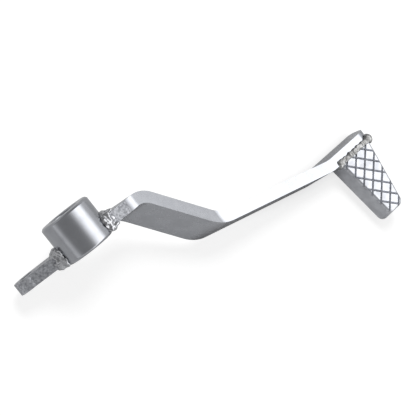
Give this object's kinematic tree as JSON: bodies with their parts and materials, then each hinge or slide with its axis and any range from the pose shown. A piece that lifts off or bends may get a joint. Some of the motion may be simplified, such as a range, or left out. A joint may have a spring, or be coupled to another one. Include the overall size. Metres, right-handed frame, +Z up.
{
  "type": "motorcycle rear brake pedal",
  "caption": "Welded rear brake pedal: a pivot tube, a short rear arm with a rod eye, a joggled flat lever and a tapered foot pad with a crosshatched tread.",
  "frame": {"origin": "middle of the pivot bore, on its axis", "axes": "+X forward to the foot pad, +Y inboard along the pivot bore, +Z up, square to the tread"},
  "size_m": [0.265, 0.1484, 0.062],
  "materials": {
    "satin_steel": "satin silver plating over sheared and bent steel",
    "cast_pad": "satin silver plating with soft cast edges",
    "weld_bead": "plated weld bead with uneven ripples"
  },
  "bodies": {
    "root": {"pivot_tube": "satin_steel", "rear_arm": "satin_steel", "lever": "satin_steel", "foot_pad": "cast_pad", "arm_weld": "weld_bead", "lever_weld": "weld_bead", "pad_weld": "weld_bead"}
  },
  "joints": []
}
